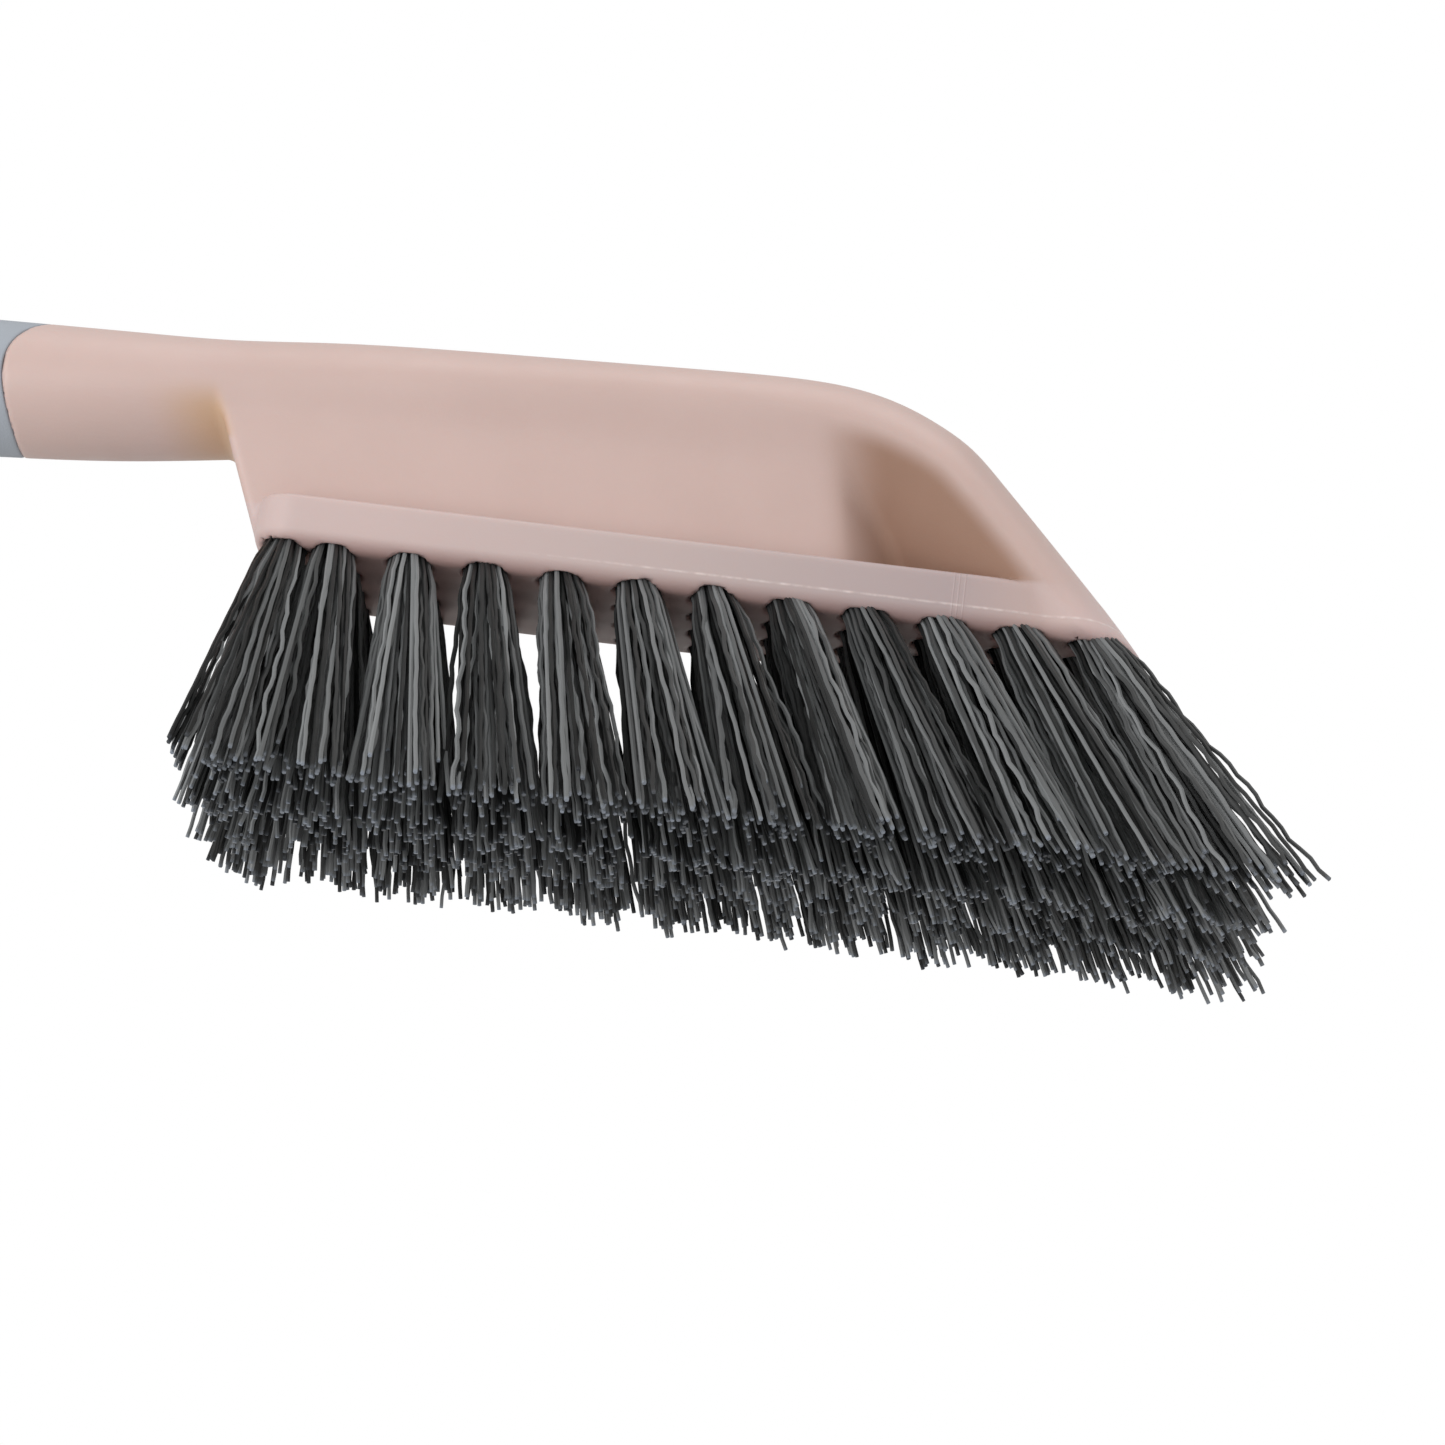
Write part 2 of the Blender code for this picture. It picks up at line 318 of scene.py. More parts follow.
def hole_field(x, y, z):
    """Distance outside the tuft holes."""
    nearest = np.full(x.shape, FAR)
    for inner, tips in TUFT_LINES.values():
        along, mouth = way_out(inner, tips)
        near = (np.abs(x - mouth[0]) < FAR) & (np.abs(y - mouth[1]) < FAR)
        if not near.any():
            continue
        away = np.stack([x[near], y[near], z[near]], -1) - mouth
        run = away @ along
        across = np.linalg.norm(away - run[:, None] * along, axis=1) - HOLE_RADIUS
        nearest[near] = np.minimum(nearest[near], np.maximum(across, -run - HOLE_DEPTH))
    return nearest


def web_field(x, y, z, depth):
    """The flat-sided web. Its front end turns in towards the pocket beside the nose."""
    past_end = -side_of(WEB_FRONT_TOP, WEB_FRONT_BOTTOM, x, z)
    turned_in = 0.5 * (past_end + np.sqrt(past_end**2 + WEB_END_SOFTNESS))
    half = np.maximum(WEB_HALF_WIDTH - WEB_END_SLOPE * turned_in, POCKET_FLOOR)
    outline = np.maximum(side_of(WEB_REAR_TOP, WEB_REAR_BOTTOM, x, z), WEB_TOP_DEPTH - depth)
    return carve(np.abs(y) - half, outline, WEB_EDGE_ROUND)


def body_field(x, y, z, flat=None):
    """Negative inside the plastic body. x and z may come with their reading of the bar."""
    reading = bar.read(x, z) if flat is None else flat
    depth, outer = reading[:2]
    whole_bar = bar_field(x, y, *reading)
    under_grip = bar_field(x, y, *reading, shrink=GRIP_THICKNESS + JOINT_GAP)
    rise = np.clip((outer - depth) / outer, -1, 1)
    gripped = np.maximum(x - grip_edge(rise), rear_grip_edge(rise) - x)
    plain_bar = carve(whole_bar, np.minimum(-gripped, FAR), STEP_ROUND)
    shape = np.minimum(plain_bar, under_grip)

    cove = NECK_COVE + (SPINE_COVE - NECK_COVE) * ease(*NECK_TO_SPINE, x)
    cove = cove + (POCKET_CREASE - SPINE_COVE) * ease(*SPINE_TO_POCKET, x)
    shape = np.where(x < -20, shape, join(shape, web_field(x, y, z, depth), cove))

    lean = (z - BLOCK_BOTTOM) / tan(NOSE_SLOPE)
    front_gap = (x - BLOCK_FRONT + lean) * sin(NOSE_SLOPE)
    draft = BLOCK_DRAFT * ease(*DRAFT_GROWS, x) * (BLOCK_TOP - z)
    plan = carve(np.abs(y) - BLOCK_HALF_WIDTH + draft, front_gap, FRONT_CORNER)
    plan = carve(plan, BLOCK_REAR - x, REAR_CORNER)
    block = carve(plan, z - BLOCK_TOP, UPPER_ROUND)
    walls = join(shape, block, BAR_COVE + NOSE_EXTRA_COVE * ease(*COVE_GROWS, x))
    lower_round = LOWER_ROUND + (NOSE_LOWER_ROUND - LOWER_ROUND) * ease(*BLOCK_TO_NOSE, x)
    shape = carve(walls, BLOCK_BOTTOM - z, lower_round)
    hang = HANG_HOLE_RADIUS - np.hypot(x - HANG_HOLE[0], z - HANG_HOLE[1])
    shape = carve(shape, hang, HANG_HOLE_ROUND)

    low = (z < BLOCK_BOTTOM + HOLE_DEPTH + 3) & (x > BLOCK_REAR - 2)
    wall = THINNEST_WALL + NOSE_EXTRA_WALL * ease(*WALL_GROWS, x[low])
    holes = np.maximum(hole_field(x[low], y[low], z[low]), walls[low] + wall)
    shape[low] = carve(shape[low], -holes, HOLE_ROUND)
    return shape


def body_at(points):
    """The body's field at rows of x, y, z."""
    return body_field(*points.T)


def surface(values, low, cell):
    """Points and four-sided faces where a grid of values changes sign."""
    inside = values < 0
    shape = np.array(values.shape) - 1
    corners = [np.array([i, j, k]) for i in (0, 1) for j in (0, 1) for k in (0, 1)]

    def part(array, corner):
        return array[tuple(slice(c, c + n) for c, n in zip(corner, shape))]

    count = sum(part(inside, corner).astype(np.int8) for corner in corners)
    cells = np.argwhere((count > 0) & (count < 8))
    number = np.full(shape, -1, np.int64)
    number[tuple(cells.T)] = np.arange(len(cells))
    total, hits = np.zeros((len(cells), 3)), np.zeros(len(cells))
    for axis in range(3):
        step = np.eye(3, dtype=int)[axis]
        for corner in corners:
            if corner[axis]:
                continue
            a = values[tuple((cells + corner).T)]
            b = values[tuple((cells + corner + step).T)]
            crossed = (a < 0) != (b < 0)
            share = np.where(crossed, a / np.where(crossed, a - b, 1), 0)
            total[crossed] += (corner + share[:, None] * step)[crossed]
            hits[crossed] += 1
    points = (cells + total / hits[:, None]) * cell + low

    faces = []
    for axis in range(3):
        step = np.eye(3, dtype=int)[axis]
        first = inside[tuple(slice(0, n - s) for n, s in zip(inside.shape, step))]
        second = inside[tuple(slice(s, None) for s in step)]
        edges = np.argwhere(first != second)
        others = [np.eye(3, dtype=int)[(axis + k) % 3] for k in (1, 2)]
        around = ((1, 1), (0, 1), (0, 0), (1, 0))
        quads = np.stack(
            [number[tuple((edges - u * others[0] - v * others[1]).T)] for u, v in around], -1
        )
        outward = first[tuple(edges.T)]
        quads[~outward] = quads[~outward][:, ::-1]
        faces.append(quads)
    return points, np.concatenate(faces)


def settle(points, field, rounds=3):
    """Moves points onto the surface where field is zero."""
    steps = np.eye(3) * SLOPE_STEP
    for _ in range(rounds):
        slope = np.stack(
            [(field(points + d) - field(points - d)) / (2 * SLOPE_STEP) for d in steps], -1
        )
        size = np.maximum((slope**2).sum(1), LEAST_SLOPE)
        move = -field(points)[:, None] * slope / size[:, None]
        points = points + np.clip(move, -LONGEST_MOVE, LONGEST_MOVE)
    return points


def relax(points, faces):
    """Moves points halfway to the middle of their neighbours, which evens out the faces."""
    edges = np.concatenate([faces[:, [k, (k + 1) % 4]] for k in range(4)])
    start, end = edges.T
    total = np.stack([np.bincount(start, points[end, k], len(points)) for k in range(3)], -1)
    return 0.5 * (points + total / np.bincount(start, minlength=len(points))[:, None])


def new_object(name, data):
    obj = bpy.data.objects.new(name, data)
    bpy.context.scene.collection.objects.link(obj)
    return obj


def mesh_object(name, points, faces, finish):
    """A smooth piece from points in millimetres."""
    mesh = bpy.data.meshes.new(name)
    mesh.from_pydata((np.asarray(points) * MM).tolist(), [], faces)
    mesh.shade_smooth()
    obj = new_object(name, mesh)
    mesh.materials.append(finish)
    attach(obj, "root")
    return obj


def give_values(obj, label, values):
    """Stores a number for each point, which the piece's material reads by its label."""
    attribute = obj.data.attributes.new(label, "FLOAT", "POINT")
    attribute.data.foreach_set("value", values.astype(np.float32))


def pocket_shade_share(x, y, z):
    """How deep a point lies in the pockets beside the nose, from 0 to 1, which sets how much
    painted shade it gets.
    """
    depth, outer, _, half_width, _ = bar.read(x, z)
    sunk = ease(-0.6, 1.6, half_width - np.abs(y)) * ease(-2.0, 1.4, depth - outer)
    past_web = -side_of(WEB_FRONT_TOP, WEB_FRONT_BOTTOM, x, z)
    return sunk * ease(-4.0, 7.0, past_web) * ease(42.6, 43.6, z)


def corner_shade_share(x, _, z):
    """How far a point lies into the corner under the neck, behind the web, from 0 to 1, which sets
    how much painted shade it gets.
    """
    depth, outer, inner = bar.read(x, z)[:3]
    before_web = side_of(WEB_REAR_TOP, WEB_REAR_BOTTOM, x, z)
    on_neck = ease(0.0, 5.0, depth - outer) * ease(0.9, 0.1, depth - outer - inner)
    return ease(11.0, 0.0, before_web) * ease(-1.5, 0.5, before_web) * on_neck


def make_body(finish):
    """The body's field, meshed for one side and mirrored, then smoothed."""
    margin = 2.5 * CELL
    low = BODY_LOW - margin
    counts = np.ceil((BODY_HIGH - BODY_LOW + 2 * margin) / CELL).astype(int)
    xs = low[0] + CELL * np.arange(counts[0] + 1)
    half_ys = CELL * (np.arange(counts[1] // 2 + 2) + 0.5)
    zs = low[2] + CELL * np.arange(counts[2] + 1)
    flat_x, flat_z = np.meshgrid(xs, zs, indexing="ij")
    flat = [a[:, None, :] for a in bar.read(flat_x, flat_z)]
    x, y, z = np.broadcast_arrays(xs[:, None, None], half_ys[None, :, None], zs[None, None, :])
    values = body_field(x, y, z, flat)
    values = np.concatenate([values[:, ::-1], values], axis=1)
    points, faces = surface(values, np.array([low[0], -half_ys[-1], low[2]]), CELL)
    points = settle(points, body_at)
    for _ in range(RELAX_ROUNDS):
        points = settle(relax(points, faces), body_at, 1)
    points = settle(points, body_at, 1)
    body = mesh_object("moulded_body", points, faces.tolist(), finish)
    # How much painted shade each point gets, in the pockets and in the corner under the neck.
    give_values(body, "pocket_shade", pocket_shade_share(*points.T))
    give_values(body, "corner", corner_shade_share(*points.T))
    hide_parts("brush_body")


def make_grip(finish):
    """The sleeve, flush with the plastic at both ends, with its edges drawn in a little."""
    sides, edge = GRIP_SIDES, GRIP_EDGE_ROUND
    turns = 2 * pi * np.arange(sides) / sides
    shares = np.sort(np.concatenate([np.linspace(0, 1, GRIP_RINGS), GRIP_END_SHARES]))
    rings = []

    def ring(share, inset):
        front = grip_edge(np.sin(turns)) - JOINT_GAP
        rear = rear_grip_edge(np.sin(turns)) + JOINT_GAP
        x = rear + share * (front - rear)
        top, outer, inner, half = bar.section(x)
        rise = (outer - inset) * np.sin(turns)
        return np.stack([x, (half - inset) * np.cos(turns), top - outer + rise], -1)

    length = GRIP_HIGH[0] - GRIP_LOW[0]
    for share in shares:
        to_end = min(share, 1 - share) * length
        inset = edge - np.sqrt(max(edge**2 - max(edge - to_end, 0) ** 2, 0))
        rings.append(ring(share, inset))
    for share in shares[::-6]:
        rings.append(ring(share, GRIP_THICKNESS))
    rings.append(ring(0.0, GRIP_THICKNESS))
    points = np.concatenate(rings)
    faces = []
    for i in range(len(rings)):
        after = (i + 1) % len(rings)
        for k in range(sides):
            n = (k + 1) % sides
            faces.append((i * sides + k, i * sides + n, after * sides + n, after * sides + k))
    grip = mesh_object("soft_grip", points, faces, finish)
    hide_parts("grip_sleeve")


# A tuft is a bundle of crimped filaments, packed tight in its hole and spread at the tips.
FILAMENTS = 68
FILAMENT_RADIUS = 0.305
RADIUS_VARIATION = 0.06
FILAMENT_SIDES = 5
FILAMENT_STEPS = 25
SHARP_ANGLE = radians(60)
ROOT_SHARE = 0.95
MOUTH_GAP = 0.05
MOUTH_BULGE = 0.5
CRIMP_LENGTH = 6.0
CRIMP_SIZE = 0.13
LONG_WAVE_LENGTH = 3.3
LONG_WAVE_SIZE = 1.2

# The tips' places, in millimetres: each tuft's own spread, and how much its filaments wander.
TUFT_SPREAD = (6.7, 7.0)
TIP_WANDER = 0.75
STRAY_SHARE = 0.05
STRAY_WANDER = 1.6
TUFT_WANDER = 0.4
CLUMPING = 0.38
CLUMPS = 9

# The last tufts lean forward, the outer rows lean out, and the row on the camera's side is shorter.
END_FLARE = 4.0
OUTER_SPLAY = 3.0
SHORT_ROW = 2.6
TRIM_MEAN = 1.3
LONGEST_TRIM = 6

# A direction that no filament takes, from which its round section is laid out.
OFF_AXIS = (0.31, 0.95, 0.05)

# Half the length, height and thickness of the staple that holds a tuft.
ANCHOR_HALF_SIZES = (2.9, 0.8, 0.18)
ANCHOR_TAPER = 0.6
ANCHOR_DROP = 0.3
ANCHOR_FACES = (
    (3, 2, 1, 0),
    (4, 5, 6, 7),
    (0, 1, 5, 4),
    (1, 2, 6, 5),
    (2, 3, 7, 6),
    (3, 0, 4, 7),
)


def bundle(rng, count):
    """Places in a unit circle, evenly packed like sunflower seeds and then shaken."""
    turn = pi * (3 - 5**0.5)
    order = np.arange(count) + 0.5
    reach, angle = np.sqrt(order / count), order * turn
    places = np.stack([reach * np.cos(angle), reach * np.sin(angle)], -1)
    return places + rng.normal(0, 0.035, places.shape)


def filament_paths(rng, inner, tips):
    """The middle line of each filament: count x steps x 3."""
    along, mouth = way_out(inner, tips)
    side = np.cross(along, (0, 1, 0))
    side /= np.linalg.norm(side)
    other = np.cross(side, along)
    places = bundle(rng, FILAMENTS)
    packed = HOLE_RADIUS - MOUTH_GAP - FILAMENT_RADIUS
    reach = np.linalg.norm(places, axis=1, keepdims=True)
    in_hole = places * np.where(reach > 0.82, 1 / reach, 1)
    at_mouth = mouth + packed * (in_hole[:, :1] * side + in_hole[:, 1:] * other)
    at_root = at_mouth + (inner - mouth) * ROOT_SHARE

    facing = np.sign((side[0], other[1]))
    spread = places * TUFT_SPREAD * facing + rng.normal(0, TIP_WANDER, places.shape)
    stray = rng.random(FILAMENTS) < STRAY_SHARE
    spread[stray] += np.clip(rng.normal(0, STRAY_WANDER, (stray.sum(), 2)), -3, 3)
    spread += np.clip(rng.normal(0, TUFT_WANDER, 2), -1, 1)
    centres = places[:: FILAMENTS // CLUMPS]
    nearest = np.linalg.norm(places[:, None] - centres[None], axis=2).argmin(1)
    spread += CLUMPING * (centres[nearest] - places) * TUFT_SPREAD * facing
    outward = np.clip(places[:, 0] * facing[0] + 0.4, 0, 1)
    spread[:, 0] += END_FLARE * ease(122, 132, tips[0]) * outward * ease(12, 30, abs(tips[1]))
    spread[:, 1] += OUTER_SPLAY * np.sign(tips[1]) * ease(14, 32, np.abs(tips[1] + spread[:, 1]))
    at_tips = tips + np.concatenate([spread, np.zeros((FILAMENTS, 1))], 1)
    trim = np.minimum(rng.exponential(TRIM_MEAN, FILAMENTS), LONGEST_TRIM) - rng.random(FILAMENTS)
    trim += SHORT_ROW * ease(-14, -30, tips[1]) * (0.35 + 0.65 * ease(30, 100, tips[0]))
    run = at_tips - at_mouth
    at_tips = at_mouth + run * ((at_tips[:, 2] - at_mouth[:, 2] + trim) / run[:, 2])[:, None]

    share = np.linspace(0, 1, FILAMENT_STEPS)[None, :, None]
    paths = at_mouth[:, None] + (at_tips - at_mouth)[:, None] * share
    bulge = MOUTH_BULGE * ease(0, 0.1, share) * (1 - share)
    paths = paths + bulge * (places[:, None, :1] * side + places[:, None, 1:] * other)
    length = np.linalg.norm(at_tips - at_mouth, axis=1)[:, None]
    phase = rng.random((FILAMENTS, 1)) * 2 * pi
    wave_length = CRIMP_LENGTH * rng.normal(1, 0.08, (FILAMENTS, 1))
    wave = np.sin(2 * pi * share[..., 0] * length / wave_length + phase)
    long_wave_length = wave_length * LONG_WAVE_LENGTH
    long_wave = np.sin(2 * pi * share[..., 0] * length / long_wave_length + 2 * phase)
    wave = wave + LONG_WAVE_SIZE * long_wave
    size = CRIMP_SIZE * rng.uniform(0.3, 1.6, (FILAMENTS, 1)) * ease(0, 0.16, share[..., 0])
    heading = rng.random(FILAMENTS) * 2 * pi
    sideways = np.cos(heading)[:, None] * side + np.sin(heading)[:, None] * other
    paths = paths + (wave * size)[..., None] * sideways[:, None]
    return np.concatenate([at_root[:, None], paths], axis=1)


def tube_mesh(paths, radii, sides):
    """One closed tube round each path, with flat ends: points, side faces and end faces."""
    count, steps, _ = paths.shape
    heading = np.gradient(paths, axis=1)
    heading /= np.linalg.norm(heading, axis=2, keepdims=True)
    side = np.cross(heading, np.array(OFF_AXIS))
    side /= np.linalg.norm(side, axis=2, keepdims=True)
    other = np.cross(heading, side)
    turns = 2 * pi * np.arange(sides) / sides
    circle = side[:, :, None] * np.cos(turns)[:, None] + other[:, :, None] * np.sin(turns)[:, None]
    points = paths[:, :, None] + circle * radii[:, None, None, None]
    number = np.arange(count * steps * sides).reshape(count, steps, sides)
    after = np.roll(number, -1, axis=2)
    walls = np.stack([number[:, :-1], after[:, :-1], after[:, 1:], number[:, 1:]], -1)
    ends = [number[:, 0, ::-1], number[:, -1]]
    return points.reshape(-1, 3), walls.reshape(-1, 4), np.concatenate(ends)


def make_tuft(name, rng, finish):
    """One CAD tuft's filaments, each with a shade of its own."""
    paths = filament_paths(rng, *TUFT_LINES[name])
    radii = FILAMENT_RADIUS * rng.normal(1, RADIUS_VARIATION, len(paths))
    points, walls, ends = tube_mesh(paths, radii, FILAMENT_SIDES)
    shown_name = name.replace("bristle_tuft", "filament_tuft")
    tuft = mesh_object(shown_name, points, walls.tolist() + ends.tolist(), finish)
    steps = paths.shape[1]
    give_values(tuft, "shade", np.repeat(rng.random(len(paths)), steps * FILAMENT_SIDES))
    along = np.repeat(np.linspace(0, 1, steps), FILAMENT_SIDES)
    give_values(tuft, "along", np.tile(along, len(paths)))
    tuft.data.set_sharp_from_angle(angle=SHARP_ANGLE)
    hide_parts(name)


def make_anchors(finish):
    """The flat staples that hold the tufts, one across the bottom of each hole."""
    points, faces = [], []
    half_length, half_height, half_thickness = ANCHOR_HALF_SIZES
    for inner, tips in TUFT_LINES.values():
        along, _ = way_out(inner, tips)
        across = np.cross(along, (1, 0, 0))
        across /= np.linalg.norm(across)
        flat = np.cross(across, along)
        middle = inner + along * ANCHOR_DROP
        start = len(points)
        for x in (-1, 1):
            for y, z in ((-1, -1), (1, -1), (1, 1), (-1, 1)):
                taper = ANCHOR_TAPER if z > 0 else 1.0
                points.append(
                    middle
                    + across * x * half_length
                    + flat * y * half_thickness * taper
                    + along * z * half_height
                )
        faces += [[start + i for i in face] for face in ANCHOR_FACES]
    mesh_object("tuft_anchors", points, faces, finish)


class Nodes:
    """Short calls for building one material."""

    def __init__(self, name):
        self.material = bpy.data.materials.new(name)
        self.material.use_nodes = True
        self.tree = self.material.node_tree
        self.shader = self.tree.nodes["Principled BSDF"]

    def add(self, kind, **settings):
        """A node, with its properties, or else its inputs, set by name."""
        node = self.tree.nodes.new(f"ShaderNode{kind}")
        for key, value in settings.items():
            if hasattr(node, key):
                setattr(node, key, value)
            else:
                node.inputs[key.replace("_", " ").title()].default_value = value
        return node

    def link(self, start, end):
        self.tree.links.new(start, end)

    def place(self):
        """Where a point is on the object, in metres along the frame's axes."""
        return self.add("TexCoord").outputs["Object"]

    def noise(self, scale, detail=3.0):
        node = self.add("TexNoise", scale=scale, detail=detail)
        self.link(self.place(), node.inputs["Vector"])
        return node.outputs["Fac"]

    def ramp(self, value, *stops):
        node = self.add("ValToRGB")
        elements = node.color_ramp.elements
        for element, (position, colour) in zip(elements, stops[:2]):
            element.position, element.color = position, (*colour, 1)
        for position, colour in stops[2:]:
            elements.new(position).color = (*colour, 1)
        self.link(value, node.inputs["Fac"])
        return node.outputs["Color"]

    def math(self, operation, a, b=0.0):
        node = self.add("Math", operation=operation)
        for socket, value in zip(node.inputs, (a, b)):
            if isinstance(value, (int, float)):
                socket.default_value = value
            else:
                self.link(value, socket)
        return node.outputs[0]

    def attribute(self, label):
        """What give_values stored."""
        return self.add("Attribute", attribute_name=label).outputs["Fac"]

    def between(self, value, low, high, new_low=0.0, new_high=1.0):
        """From new_low at low to new_high at high, and level beyond both."""
        node = self.add("MapRange", From_Min=low, From_Max=high, To_Min=new_low, To_Max=new_high)
        self.link(value, node.inputs["Value"])
        return node.outputs["Result"]

    def line(self, value, place, half_width):
        """1 on a fine line where value is at place, falling to 0 at its edges."""
        away = self.math("ABSOLUTE", self.math("SUBTRACT", value, place))
        return self.between(away, half_width, 0.0)

    def mix(self, share, first, second):
        """A colour between first and second, which are sockets or plain colours."""
        node = self.add("Mix", data_type="RGBA")
        self.link(share, node.inputs[0])
        for socket, colour in ((node.inputs[6], first), (node.inputs[7], second)):
            if isinstance(colour, tuple):
                socket.default_value = (*colour, 1)
            else:
                self.link(colour, socket)
        return node.outputs[2]

    def bump(self, height, distance, strength=1.0):
        node = self.add("Bump", distance=distance, strength=strength)
        self.link(height, node.inputs["Height"])
        self.link(node.outputs["Normal"], self.shader.inputs["Normal"])

    def set(self, **values):
        for key, value in values.items():
            self.shader.inputs[key.replace("_", " ")].default_value = value


# The mould's parting line and the flow marks on the block, in metres, with half their widths.
PARTING_Z, PARTING_HALF_WIDTH = 0.0386, 0.00024
FLOW_MARKS_X, FLOW_HALF_WIDTH = (0.0906, 0.0913, 0.0921), 0.00016
FLOW_HEIGHT, GRAIN_HEIGHT, RIDGE_HEIGHT = 0.35, 0.16, 0.2

# Painted shade in the pockets, in the corner under the neck and under the block; painted light at
# the tip, along the parting line and on the filaments' cut ends.
POCKET_PAINTED_SHADE = (0.305, 0.172, 0.112)
CORNER_PAINTED_SHADE = (0.56, 0.36, 0.22)
UNDERSIDE_PAINTED_SHADE = (0.37, 0.2, 0.18)
TIP_PAINTED_LIGHT = (0.74, 0.62, 0.65)
PARTING_PAINTED_HIGHLIGHT = (0.86, 0.76, 0.74)
CUT_END_PAINTED_GLINT = (0.25, 0.285, 0.34)


def pink_plastic():
    """Satin moulded plastic, with painted shade in the pockets beside the nose, in the corner under
    the neck, on the block's face and on its underside, and painted light at the nose's tip and
    along the parting line.
    """
    made = Nodes("pink_plastic")
    made.set(Subsurface_Weight=0.12, Subsurface_Scale=0.002, IOR=1.48)
    made.set(Subsurface_Radius=(1.0, 0.45, 0.3))
    mottle = made.noise(45.0, 4.0)
    colour = made.ramp(mottle, (0.35, (0.585, 0.435, 0.4)), (0.68, (0.615, 0.462, 0.427)))
    # Shares of painted shade in the pockets beside the nose and in the corner under the neck.
    pocket_shade, corner = made.attribute("pocket_shade"), made.attribute("corner")
    parts = made.add("SeparateXYZ")
    made.link(made.place(), parts.inputs[0])
    along, _, height = parts.outputs

    on_block = made.between(height, 0.0436, 0.0430)
    before_nose = made.between(along, 0.106, 0.090)
    # Painted shade: the block's face gets darker and greyer towards the nose.
    block_painted_shade = made.ramp(
        made.between(along, 0.0, 0.1),
        (0.1, (0.588, 0.460, 0.443)),
        (0.52, (0.533, 0.431, 0.418)),
        (0.8, (0.475, 0.385, 0.383)),
        (0.95, (0.448, 0.361, 0.363)),
    )
    past_rear = made.between(along, 0.03, 0.055)
    parting_line = made.line(height, PARTING_Z, PARTING_HALF_WIDTH)
    parting = made.math("MULTIPLY", parting_line, past_rear)
    # Painted highlight: a pale line with painted sparkles along the parting line; the ridge itself
    # is a bump.
    painted_sparkle = made.between(made.noise(700.0, 2.0), 0.4, 0.68, 0.15, 0.7)
    # Painted shade: the pockets beside the nose are darkened to brown.
    colour = made.mix(made.math("MULTIPLY", pocket_shade, 0.88), colour, POCKET_PAINTED_SHADE)
    # Painted shade: the neck's underside beside the web is darkened to a warm tan.
    colour = made.mix(made.math("MULTIPLY", corner, 0.9), colour, CORNER_PAINTED_SHADE)
    colour = made.mix(made.math("MULTIPLY", on_block, before_nose), colour, block_painted_shade)
    # Painted shade: the block's underside is darkened to red-brown.
    colour = made.mix(made.between(height, 0.0382, 0.0362, 0.0, 0.6), colour, UNDERSIDE_PAINTED_SHADE)
    # Painted light: the lower tip of the nose is made paler and cooler.
    low_down = made.between(height, 0.052, 0.040, 0.0, 0.5)
    tip_light_share = made.math("MULTIPLY", made.between(along, 0.101, 0.117), low_down)
    colour = made.mix(tip_light_share, colour, TIP_PAINTED_LIGHT)
    colour = made.mix(made.math("MULTIPLY", parting, painted_sparkle), colour, PARTING_PAINTED_HIGHLIGHT)
    made.link(colour, made.shader.inputs["Base Color"])

    rough = made.between(made.noise(220.0, 5.0), 0.3, 0.7, 0.38, 0.5)
    rough = made.math("SUBTRACT", rough, made.math("MULTIPLY", parting, 0.15))
    rough = made.math("ADD", rough, made.math("MULTIPLY", pocket_shade, 0.35))
    made.link(rough, made.shader.inputs["Roughness"])

    flow = made.line(along, FLOW_MARKS_X[0], FLOW_HALF_WIDTH)
    for x in FLOW_MARKS_X[1:]:
        flow = made.math("ADD", flow, made.line(along, x, FLOW_HALF_WIDTH))
    flow = made.math("MULTIPLY", made.math("MULTIPLY", flow, on_block), FLOW_HEIGHT)
    grain = made.math("MULTIPLY", made.noise(2600.0, 2.0), GRAIN_HEIGHT)
    ridge = made.math("MULTIPLY", parting, RIDGE_HEIGHT)
    made.bump(made.math("ADD", made.math("ADD", ridge, flow), grain), 0.00012, 1.0)
    return made.material


def grip_rubber():
    """Matte grey-blue rubber with a fine grain."""
    made = Nodes("grip_rubber")
    mottle = made.noise(160.0, 4.0)
    colour = made.ramp(mottle, (0.3, (0.349, 0.384, 0.431)), (0.7, (0.368, 0.404, 0.453)))
    made.link(colour, made.shader.inputs["Base Color"])
    made.set(Roughness=0.72)
    made.bump(made.noise(3200.0, 2.0), 0.00008, 0.7)
    return made.material


def bristle():
    """Dark satin filament, with painted glints on its cut ends."""
    made = Nodes("bristle")
    made.set(Specular_IOR_Level=0.32)
    shade, along = made.attribute("shade"), made.attribute("along")
    dull = made.ramp(
        shade,
        (0.0, (0.006, 0.0066, 0.0068)),
        (1.0, (0.25, 0.263, 0.27)),
        (0.3, (0.032, 0.0338, 0.0345)),
    )
    # Painted glints: the last bit of some filaments is made pale and bluish.
    glint_share = made.between(shade, 0.2, 0.9, 0.15, 0.95)
    cut_end_glint = made.math("MULTIPLY", made.between(along, 0.985, 1.0), glint_share)
    made.link(made.mix(cut_end_glint, dull, CUT_END_PAINTED_GLINT), made.shader.inputs["Base Color"])
    rough = made.between(made.noise(900.0, 2.0), 0.3, 0.7, 0.3, 0.48)
    made.link(rough, made.shader.inputs["Roughness"])
    return made.material


def anchor_wire():
    """Plain drawn wire."""
    made = Nodes("anchor_wire")
    made.set(Metallic=1.0)
    colour = made.ramp(made.noise(500.0), (0.3, (0.5, 0.5, 0.48)), (0.7, (0.62, 0.62, 0.6)))
    made.link(colour, made.shader.inputs["Base Color"])
    rough = made.between(made.noise(1500.0), 0.3, 0.7, 0.3, 0.45)
    made.link(rough, made.shader.inputs["Roughness"])
    return made.material


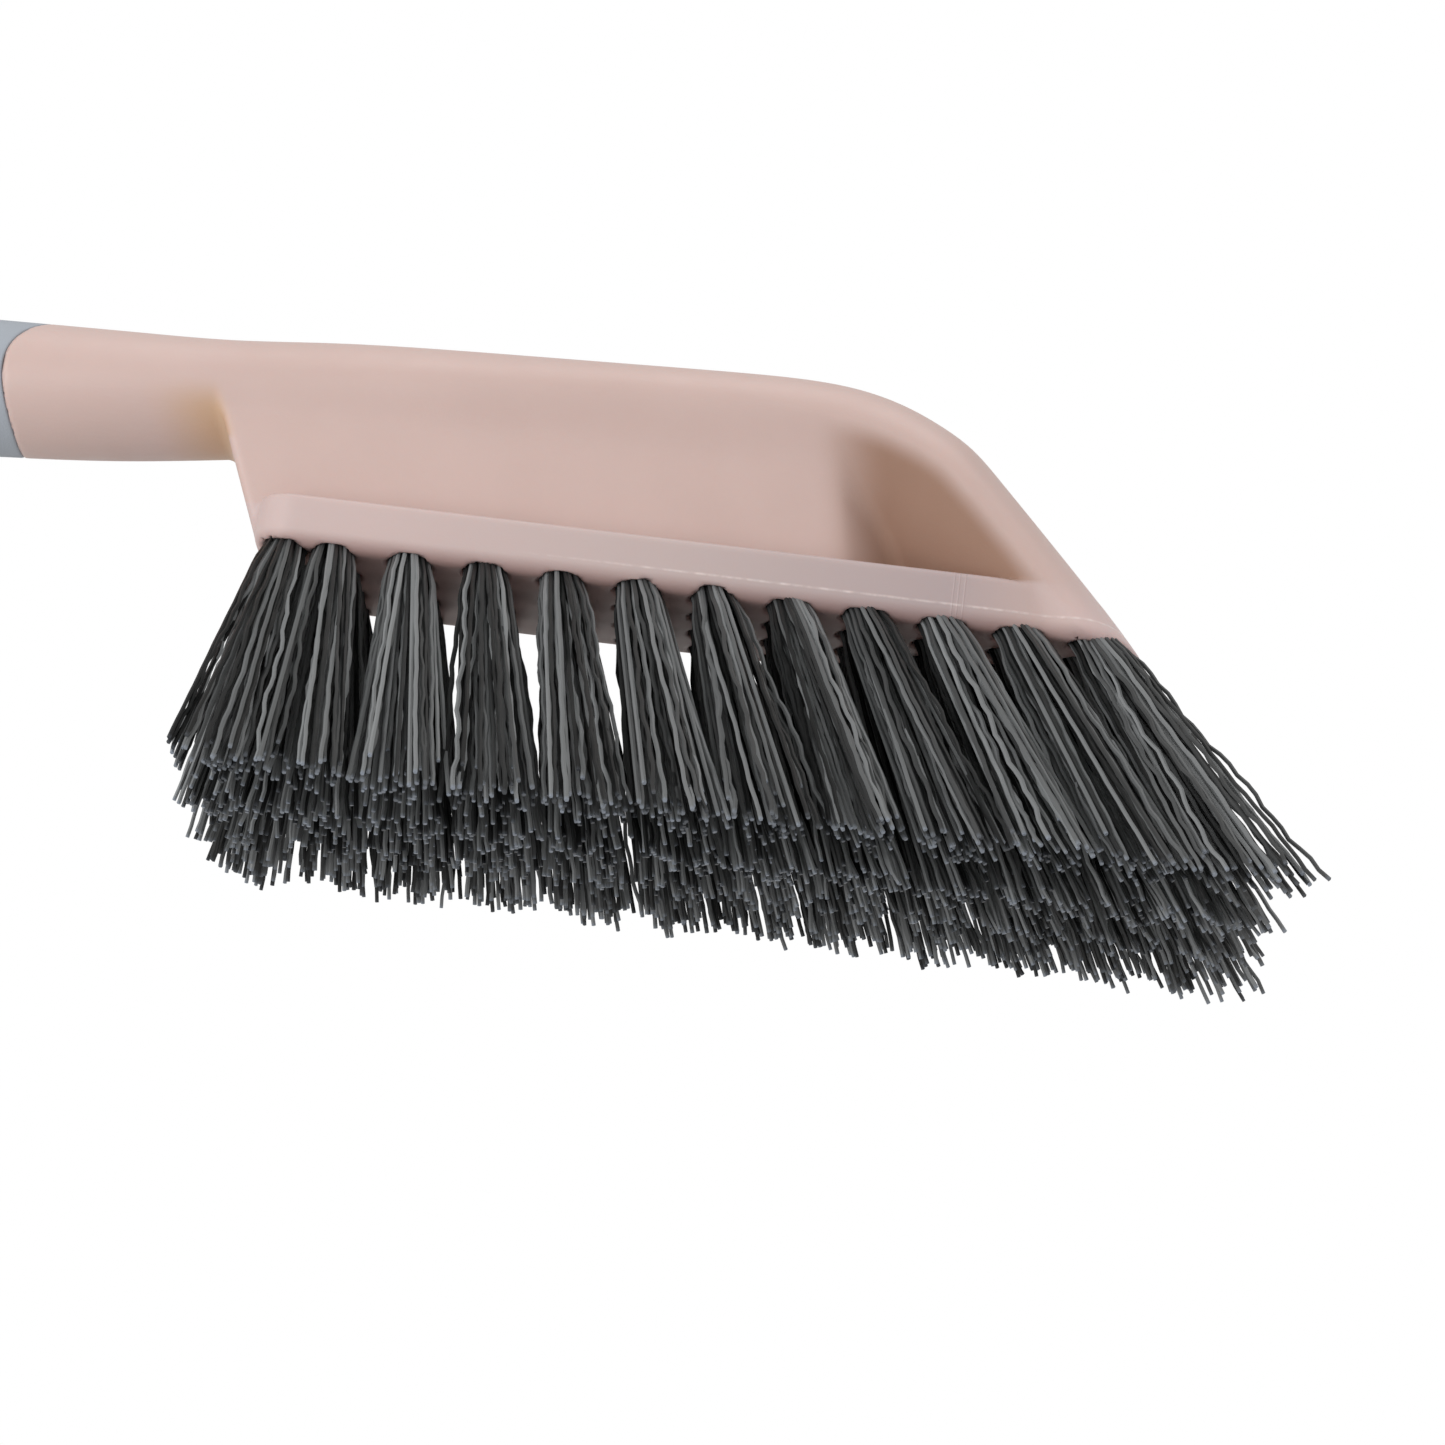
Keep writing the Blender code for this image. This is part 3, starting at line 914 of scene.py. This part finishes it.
CAMERA_AT = Vector((70.19, -491.66, -113.7)) * MM
CAMERA_YAW, CAMERA_PITCH, CAMERA_ROLL = radians(-1.0), radians(15.5), radians(7.094)
CAMERA_LENS = 92.31
FLOOR_HALF_SIZE, FLOOR_HEIGHT = 4.0, -0.95


def make_camera():
    """The photograph's view: from the side, a little below, and tilted."""
    data = bpy.data.cameras.new("camera")
    data.lens = CAMERA_LENS
    data.sensor_width = 36.0
    data.clip_start = 0.01
    camera = new_object("camera", data)
    ahead = Vector((
        sin(CAMERA_YAW) * cos(CAMERA_PITCH),
        cos(CAMERA_YAW) * cos(CAMERA_PITCH),
        sin(CAMERA_PITCH),
    ))
    level = ahead.cross(Vector((0, 0, 1))).normalized()
    upright = level.cross(ahead)
    right = level * cos(CAMERA_ROLL) + upright * sin(CAMERA_ROLL)
    up = upright * cos(CAMERA_ROLL) - level * sin(CAMERA_ROLL)
    turned = Matrix((right, up, -ahead)).transposed().to_4x4()
    camera.matrix_world = Matrix.Translation(CAMERA_AT) @ turned
    bpy.context.scene.camera = camera


def area_light(name, at, towards, size, power):
    data = bpy.data.lights.new(name, "AREA")
    data.shape = "DISK"
    data.size = size
    data.energy = power
    light = new_object(name, data)
    light.location = at
    light.rotation_mode = "QUATERNION"
    light.rotation_quaternion = (Vector(towards) - Vector(at)).to_track_quat("-Z", "Y")


def make_world():
    """Soft warm light from all round, seen as plain white behind the object."""
    world = bpy.data.worlds.new("studio")
    bpy.context.scene.world = world
    world.use_nodes = True
    tree = world.node_tree
    background = tree.nodes["Background"]
    background.inputs["Color"].default_value = (1.0, 0.975, 0.95, 1)
    background.inputs["Strength"].default_value = 0.7
    white = tree.nodes.new("ShaderNodeBackground")
    white.inputs["Color"].default_value = (1, 1, 1, 1)
    white.inputs["Strength"].default_value = 1.0
    path = tree.nodes.new("ShaderNodeLightPath")
    mix = tree.nodes.new("ShaderNodeMixShader")
    tree.links.new(path.outputs["Is Camera Ray"], mix.inputs[0])
    tree.links.new(background.outputs[0], mix.inputs[1])
    tree.links.new(white.outputs[0], mix.inputs[2])
    tree.links.new(mix.outputs[0], tree.nodes["World Output"].inputs["Surface"])


def make_floor():
    """A pale floor, below the camera, which looks up at the brush."""
    mesh = bpy.data.meshes.new("floor")
    ways = ((-1, -1), (1, -1), (1, 1), (-1, 1))
    corners = [(x * FLOOR_HALF_SIZE, y * FLOOR_HALF_SIZE, FLOOR_HEIGHT) for x, y in ways]
    mesh.from_pydata(corners, [], [(0, 1, 2, 3)])
    floor = new_object("floor", mesh)
    finish = Nodes("floor")
    finish.set(Roughness=0.9, Base_Color=(0.85, 0.85, 0.85, 1))
    mesh.materials.append(finish.material)


def make_lights():
    middle = Vector((0.05, 0, 0.04))
    area_light("key", (-0.42, -0.60, -0.05), middle, 0.6, 2.7)
    area_light("overhead", (0.10, -0.20, 1.04), middle, 0.9, 2.5)


def main():
    bpy.context.scene.view_settings.view_transform = "Standard"
    make_camera()
    make_world()
    make_lights()
    make_floor()
    make_body(pink_plastic())
    make_grip(grip_rubber())
    make_anchors(anchor_wire())
    bristles = bristle()
    for number, name in enumerate(TUFT_NODES):
        make_tuft(name, np.random.default_rng(SEED + number), bristles)


main()
